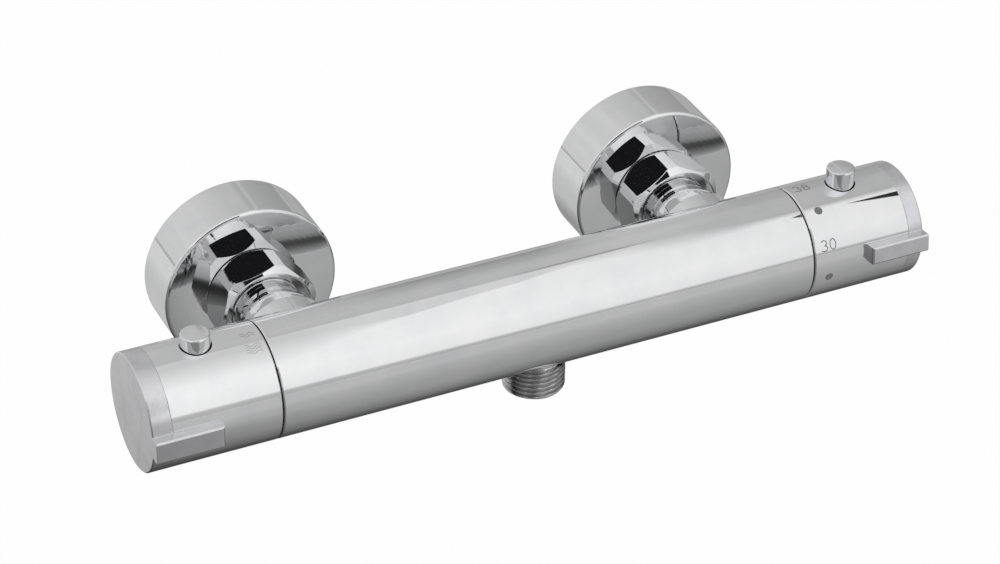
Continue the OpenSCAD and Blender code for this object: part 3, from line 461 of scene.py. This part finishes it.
# Middles of the dial and of the water signs along the bar
DIAL_X = 105 * MM
SIGN_X = -96 * MM


def on_knob(x, turn, along, across):
    """A point on the knob's skin: along the bar and across it, in mm, from the mark's middle at x
    and at turn degrees above the front."""
    angle = math.radians(turn) + across * MM / BAR_R
    radius = BAR_R + LIFT
    return Vector((x + along * MM, BAR_Y - radius * math.cos(angle), radius * math.sin(angle)))


def arc(cx, cy, rx, ry, start, end, steps=14):
    """Points on an ellipse's arc from start to end degrees."""
    turns = [math.radians(start + (end - start) * i / steps) for i in range(steps + 1)]
    return [(cx + rx * math.cos(a), cy + ry * math.sin(a)) for a in turns]


def stroke(points, width, closed=False):
    """Left and right rails of a flat stroke along 2-D points."""
    left, right = [], []
    count = len(points)
    for i, (x, y) in enumerate(points):
        if closed:
            before, after = points[i - 1], points[(i + 1) % count]
        else:
            before, after = points[max(i - 1, 0)], points[min(i + 1, count - 1)]
        dx, dy = after[0] - before[0], after[1] - before[1]
        length = math.hypot(dx, dy) or 1.0
        nx, ny = -dy / length * width / 2, dx / length * width / 2
        left.append((x + nx, y + ny))
        right.append((x - nx, y - ny))
    return left, right


def add_mark(name, x, turn, strokes, width, body, finish=ETCHED):
    """Etched strokes on a knob; each stroke is (points, closed) in mm, first axis along the bar."""
    points, faces = [], []
    for line, closed in strokes:
        left, right = stroke(line, width, closed)
        first = len(points)
        for a, b in zip(left, right):
            points += [on_knob(x, turn, *a), on_knob(x, turn, *b)]
        count = len(left)
        for i in range(count if closed else count - 1):
            j = (i + 1) % count
            faces.append((first + 2 * i, first + 2 * j, first + 2 * j + 1, first + 2 * i + 1))
    add_piece(name, points, faces, finish, body)


def digit(value, middle, height):
    """Strokes of the plain figures 0, 3 and 8, upright across the bar."""
    half = height * 0.3
    if value == "0":
        return [(arc(middle, 0, half, height / 2, 0, 345, 26), True)]
    if value == "8":
        return [(arc(middle, height * 0.24, half * 0.85, height * 0.25, 0, 340, 18), True),
                (arc(middle, -height * 0.25, half, height * 0.26, 0, 340, 18), True)]
    upper = arc(middle - 0.1 * height, height * 0.24, half * 0.95, height * 0.26, 150, -90, 16)
    lower = arc(middle - 0.1 * height, -height * 0.25, half * 1.1, height * 0.26, 90, -150, 16)
    return [(upper + lower[1:], False)]


def add_number(name, text, x, turn, body):
    """A plain number on the dial."""
    gap = FIGURE_HEIGHT * 0.82
    strokes = []
    for i, value in enumerate(text):
        strokes += digit(value, (i - (len(text) - 1) / 2) * gap, FIGURE_HEIGHT)
    add_mark(name, x, turn, strokes, FIGURE_STROKE, body)


def add_dot(name, x, turn, body):
    """A round dot on the dial, as a fan of rings that follows the knob's skin."""
    spokes, rings = 28, 3
    circle = [2 * math.pi * i / spokes for i in range(spokes)]
    points = [on_knob(x, turn, 0.0, 0.0)]
    for ring in range(1, rings + 1):
        r = DOT_R * ring / rings
        points += [on_knob(x, turn, r * math.cos(a), r * math.sin(a)) for a in circle]
    faces = [(0, 1 + i, 1 + (i + 1) % spokes) for i in range(spokes)]
    for ring in range(1, rings):
        inner, outer = 1 + (ring - 1) * spokes, 1 + ring * spokes
        for i in range(spokes):
            j = (i + 1) % spokes
            faces.append((inner + i, outer + i, outer + j, inner + j))
    add_piece(name, points, faces, ETCHED, body)


def add_waves(name, x, turn, length, pitch, lines, body):
    """A plain sign for water: wavy lines beside each other."""
    steps = 26
    strokes = []
    for i in range(lines):
        offset = (i - (lines - 1) / 2) * pitch
        line = [(length * (k / steps - 0.5), offset + 0.42 * math.sin(3 * math.pi * k / steps + 0.6))
                for k in range(steps + 1)]
        strokes.append((line, False))
    add_mark(name, x, turn, strokes, WAVE_STROKE, body, FAINT)


def mark_knobs():
    """The dial of the temperature knob, and plain water signs on the flow knob."""
    add_number("dial_38", "38", DIAL_X, 96.7, "temperature_knob")
    add_dot("dial_dot_upper", DIAL_X, 61.2, "temperature_knob")
    add_number("dial_30", "30", DIAL_X, 25.5, "temperature_knob")
    add_dot("dial_dot_lower", DIAL_X, -9.9, "temperature_knob")
    add_waves("water_sign_full", SIGN_X, 67.6, 5.2, 0.95, 4, "flow_knob")
    add_waves("water_sign_saver", SIGN_X, 85.5, 4.6, 1.1, 2, "flow_knob")


# Studio

FLOOR_Z = -0.30
# The share of the floor that is white to the eye; the rest takes the shadow
FLOOR_GLOW = 0.97
# Half the widths of the floor and of the card on it, and how far the card lies above it
FLOOR_HALF, CARD_HALF, CARD_LIFT = 6.0, 5.5, 0.002


def see_and_mirror(tree):
    """1 for the rays that see the background: the camera's, and those in metal and in clear things."""
    rays = tree.nodes.new("ShaderNodeLightPath")
    seen = math_node(tree, "ADD", rays.outputs["Is Camera Ray"], rays.outputs["Is Glossy Ray"])
    return math_node(tree, "ADD", seen, rays.outputs["Is Transmission Ray"], clamp=True)


def add_plane(name, half, z, material):
    """A level square stage plane at the height z, half its width to each side of the middle."""
    mesh = bpy.data.meshes.new(name)
    corners = [(-half, -half, z), (half, -half, z), (half, half, z), (-half, half, z)]
    mesh.from_pydata(corners, [], [(0, 1, 2, 3)])
    mesh.materials.append(material)
    plane = bpy.data.objects.new(name, mesh)
    bpy.context.scene.collection.objects.link(plane)
    return plane


def build_floor():
    """A pale floor: white to the eye, with a trace of the object's shadow. It is white to metal too,
    but the glowing card, seen only in reflections, hides nearly all of it from the metal."""
    material, tree, shader = new_material("pale_floor")
    output = next(n for n in tree.nodes if n.type == "OUTPUT_MATERIAL")
    shader.inputs["Base Color"].default_value = (0.8, 0.8, 0.8, 1.0)
    shader.inputs["Roughness"].default_value = 0.9
    glow = tree.nodes.new("ShaderNodeEmission")
    glow.inputs["Color"].default_value = (1.0, 1.0, 1.0, 1.0)
    share = math_node(tree, "MULTIPLY", see_and_mirror(tree), FLOOR_GLOW)
    mix = tree.nodes.new("ShaderNodeMixShader")
    tree.links.new(share, mix.inputs["Fac"])
    tree.links.new(shader.outputs["BSDF"], mix.inputs[1])
    tree.links.new(glow.outputs["Emission"], mix.inputs[2])
    tree.links.new(mix.outputs["Shader"], output.inputs["Surface"])
    add_plane("studio_floor", FLOOR_HALF, FLOOR_Z, material)


# Glow of the card, a painted reflection, from 1 m in front of the wall plane (0) to 1 m behind it (1)
CARD_SWEEP = [(0.0, 0.58), (0.26, 0.46), (0.40, 0.36), (0.465, 0.23), (0.50, 0.13), (0.53, 0.08),
              (0.57, 0.09), (0.62, 0.28), (0.68, 0.36), (1.0, 0.46)]


def build_card():
    """A card that lies on the floor under the object, glows and shows only in its metal: a painted
    reflection that lights nothing.
    """
    material, tree, _ = new_material("painted_reflection_card")
    output = next(n for n in tree.nodes if n.type == "OUTPUT_MATERIAL")
    place = tree.nodes.new("ShaderNodeNewGeometry")
    parts = tree.nodes.new("ShaderNodeSeparateXYZ")
    tree.links.new(place.outputs["Position"], parts.inputs["Vector"])
    x, y = parts.outputs["X"], parts.outputs["Y"]
    colour = ramp_node(tree, line_node(tree, y, 0.5, 0.5), CARD_SWEEP)
    # Behind the wall plane the card is lighter on the left, and in front of it darker there
    leftness = line_node(tree, x, -6.0, 0.35, clamp=True)
    behind = line_node(tree, y, 8.0, -0.8, clamp=True)
    lift = line_node(tree, math_node(tree, "MULTIPLY", leftness, behind), 0.65, 1.0)
    ahead = line_node(tree, behind, -1.0, 1.0)
    sink = line_node(tree, math_node(tree, "MULTIPLY", leftness, ahead), -0.5, 1.0)
    colour = scale_colour(tree, colour, math_node(tree, "MULTIPLY", lift, sink))
    # The card glows: its colour is a painted reflection that only the metal shows
    glow = tree.nodes.new("ShaderNodeEmission")
    tree.links.new(colour, glow.inputs["Color"])
    tree.links.new(glow.outputs["Emission"], output.inputs["Surface"])
    card = add_plane("painted_reflection_card", CARD_HALF, FLOOR_Z + CARD_LIFT, material)
    card.visible_camera = card.visible_diffuse = card.visible_shadow = False


# Brightness of the studio round the bar, from level behind over the floor (0) and level in front
# (0.5) to overhead (0.75)
STUDIO_SWEEP = [(0.0, 0.5), (0.40, 0.5), (0.499, 0.52), (0.508, 0.60), (0.517, 0.98), (0.60, 1.06),
                (0.68, 1.03), (0.80, 0.99)]
# The next four run over a ray's share to the right from 0.3 (0) to 0.48 (1)
RIGHT_FROM, RIGHT_SPAN = 0.30, 0.18
# Where the big light ends, in places of the studio sweep
LIGHT_END = [(0.0, 0.72), (0.092, 0.735), (0.197, 0.739), (0.289, 0.756), (0.378, 0.765),
             (0.467, 0.79), (0.556, 0.78), (0.647, 0.766), (0.74, 0.757), (1.0, 0.757)]
# How soft that end is
LIGHT_FADE = [(0.0, 0.12), (0.092, 0.06), (0.17, 0.008), (0.378, 0.006), (0.467, 0.022),
              (0.556, 0.05), (0.647, 0.09), (0.74, 0.05), (0.80, 0.025), (1.0, 0.025)]
# How much darker the room is near the floor
ROOM_SHADE = [(0.0, 0.08), (0.092, 0.15), (0.197, 0.40), (0.42, 0.38), (0.50, 0.05), (0.68, 0.03),
              (0.76, 0.22), (1.0, 0.25)]
# How much of the pale band over the light shows
PALE_SHARE = [(0.0, 0.7), (0.1, 1.0), (0.56, 1.0), (0.62, 0.0)]
PALE_END = 0.812
# How much of the thin dark line over that band shows, and where it lies in a ray's share to the right
LINE_SHARE = 0.7
LINE_X = (0.365, 0.410)
# The room's brightness in the middle, its change to the right, and a strip that is a little lighter
ROOM_LEVEL, ROOM_SLOPE, STRIP_LIFT = 0.64, -0.215, 0.045
STRIP_X = (0.388, 0.428)
# How soft the ends of the line and the strip are
SOFT_X = 0.012
# The dark opening's edges, in degrees to the right of the front and in a ray's share upwards
OPENING_AZIMUTH = (-40, 13)
OPENING_HEIGHT = (0.37, 0.77)
# The wedges: (tip, end) in a ray's share to the right, (turn at the tip, slope), and half the width
# gained on the way
LONG_WEDGE = ((0.4613, 0.4840), (0.7381, -1.05), 0.98)
SHORT_WEDGE = ((0.4468, 0.4506), (0.7347, 0.0), 3.7)
# Colours of the pale band, the dark line, the opening and the wedges
PALE = (0.77, 0.77, 0.77)
LINE = (0.3, 0.3, 0.3)
OPENING = (0.012, 0.012, 0.014)
WEDGE = (0.03, 0.03, 0.03)


def build_world():
    """White to the eye; in the metal a big soft light in front and above, a pale band over it, a
    grey room behind, a dark opening in front and to the left, a dark line and two wedges."""
    world = bpy.data.worlds.new("studio")
    bpy.context.scene.world = world
    world.use_nodes = True
    tree = world.node_tree
    tree.nodes.clear()
    output = tree.nodes.new("ShaderNodeOutputWorld")
    place = tree.nodes.new("ShaderNodeTexCoord")
    parts = tree.nodes.new("ShaderNodeSeparateXYZ")
    tree.links.new(place.outputs["Generated"], parts.inputs["Vector"])
    x, y, z = (parts.outputs[axis] for axis in "XYZ")
    front = math_node(tree, "MULTIPLY", y, -1.0)
    turn = line_node(tree, math_node(tree, "ARCTAN2", z, front), 0.5 / math.pi, 0.5)
    # The light's lower edge drops to the right, where it is also a little weaker
    drop = math_node(tree, "MINIMUM", line_node(tree, x, 0.13, -0.045), 0.006)
    upper = math_node(tree, "GREATER_THAN", turn, 0.5)
    lowered = math_node(tree, "ADD", turn, math_node(tree, "MULTIPLY", drop, upper))
    weaken = math_node(tree, "MINIMUM", line_node(tree, x, -0.45, 1.14), 1.03)
    light = scale_colour(tree, ramp_node(tree, lowered, STUDIO_SWEEP), weaken)
    # The room behind is lighter on the left, darker near the floor, and uneven
    right = line_node(tree, x, 1.0 / RIGHT_SPAN, -RIGHT_FROM / RIGHT_SPAN, clamp=True)
    low_down = line_node(tree, z, -1.5, 1.08, clamp=True)
    shade = math_node(tree, "MULTIPLY", ramp_node(tree, right, ROOM_SHADE), low_down)
    cloud = tree.nodes.new("ShaderNodeTexNoise")
    cloud.inputs["Scale"].default_value = 2.2
    cloud.inputs["Detail"].default_value = 3.0
    cloud.inputs["Distortion"].default_value = 1.2
    tree.links.new(place.outputs["Generated"], cloud.inputs["Vector"])
    uneven = line_node(tree, cloud.outputs["Fac"], 0.24, 0.88)
    room = line_node(tree, band(tree, x, *STRIP_X, SOFT_X), STRIP_LIFT, ROOM_LEVEL)
    room = math_node(tree, "ADD", room, math_node(tree, "MULTIPLY", x, ROOM_SLOPE))
    room = math_node(tree, "MULTIPLY", room, uneven)
    room = math_node(tree, "MULTIPLY", room, line_node(tree, shade, -1.0, 1.0))
    sweep = scale_colour(tree, (1.0, 1.0, 1.0), room)
    # Above the light lies a pale band, with a thin dark line over it on the right
    in_band = line_node(tree, turn, -250.0, 250.0 * PALE_END, clamp=True)
    in_band = math_node(tree, "MULTIPLY", in_band, ramp_node(tree, right, PALE_SHARE))
    sweep = mix_colours(tree, in_band, sweep, PALE)
    on_line = band(tree, turn, PALE_END - 0.002, PALE_END + 0.012, 0.004)
    on_line = math_node(tree, "MULTIPLY", on_line, band(tree, x, *LINE_X, SOFT_X))
    on_line = math_node(tree, "MULTIPLY", on_line, LINE_SHARE)
    sweep = mix_colours(tree, on_line, sweep, LINE)
    reach = math_node(tree, "SUBTRACT", ramp_node(tree, right, LIGHT_END), turn)
    reach = math_node(tree, "DIVIDE", reach, ramp_node(tree, right, LIGHT_FADE))
    sweep = mix_colours(tree, line_node(tree, reach, 1.0, 0.5, clamp=True), sweep, light)
    # The dark opening: a band in azimuth and height
    azimuth = math_node(tree, "ARCTAN2", x, front)
    left, right_edge = (math.radians(v) for v in OPENING_AZIMUTH)
    inside_x = band(tree, azimuth, left, right_edge, math.radians(1.2))
    inside_z = band(tree, z, *OPENING_HEIGHT, 0.03)
    opening = math_node(tree, "MULTIPLY", inside_x, inside_z)
    sweep = mix_colours(tree, opening, sweep, OPENING)
    # Two dark wedges at the light's end, far to the right
    wedges = [wedge(tree, x, turn, *values) for values in (LONG_WEDGE, SHORT_WEDGE)]
    in_wedge = math_node(tree, "MAXIMUM", *wedges)
    sweep = mix_colours(tree, in_wedge, sweep, WEDGE)
    rays = tree.nodes.new("ShaderNodeLightPath")
    seen = mix_colours(tree, rays.outputs["Is Camera Ray"], sweep, (1.0, 1.0, 1.0))
    background = tree.nodes.new("ShaderNodeBackground")
    tree.links.new(seen, background.inputs["Color"])
    background.inputs["Strength"].default_value = 1.0
    tree.links.new(background.outputs["Background"], output.inputs["Surface"])


def add_lamp(name, place, target, size, power):
    """A soft rectangular lamp that faces its target."""
    lamp = bpy.data.lights.new(name, "AREA")
    lamp.shape = "RECTANGLE"
    lamp.size, lamp.size_y = size
    lamp.energy = power
    holder = bpy.data.objects.new(name, lamp)
    bpy.context.scene.collection.objects.link(holder)
    aim = (Vector(target) - Vector(place)).to_track_quat("-Z", "Y")
    holder.matrix_world = Matrix.Translation(place) @ aim.to_matrix().to_4x4()
    holder.visible_camera = holder.visible_glossy = False


# Each lamp's name, place and size in metres, and power in watts
LAMPS = [
    ("soft_key", (1.0, -1.1, 1.5), (1.2, 0.9), 2.5),
    ("soft_fill", (-1.6, -0.3, 0.9), (0.8, 0.8), 1.0),
]


def build_lamps():
    """One large soft lamp high in front and to the right, and a weak one on the left. The metal
    shows the studio's own light, so both stay out of it."""
    for name, place, size, power in LAMPS:
        add_lamp(name, place, (0.0, BAR_Y, 0.0), size, power)


# The camera's place in metres, its azimuth, elevation and roll in degrees, and its focal length and
# the picture's width in pixels
CAMERA_PLACE = (-0.3836, -0.84306, 0.59137)
CAMERA_ANGLES = (-25.88, 33.85, 0.866)
FOCAL_PX, WIDTH_PX = 3211.0, 1000


def build_camera():
    """The camera solved from the photo: its place in metres and its aim."""
    azimuth, elevation, roll = (math.radians(v) for v in CAMERA_ANGLES)
    camera = bpy.data.cameras.new("camera")
    camera.sensor_width = 36.0
    camera.lens = FOCAL_PX / WIDTH_PX * camera.sensor_width
    camera.clip_start, camera.clip_end = 0.05, 30.0
    holder = bpy.data.objects.new("camera", camera)
    bpy.context.scene.collection.objects.link(holder)
    aim = (Matrix.Rotation(azimuth, 4, "Z") @ Matrix.Rotation(math.pi / 2 - elevation, 4, "X")
           @ Matrix.Rotation(roll, 4, "Z"))
    holder.matrix_world = Matrix.Translation(CAMERA_PLACE) @ aim
    bpy.context.scene.camera = holder


build_camera()
dress_nodes()
build_outlet()
mark_knobs()
build_floor()
build_card()
build_world()
build_lamps()
bpy.context.scene.view_settings.view_transform = "Standard"
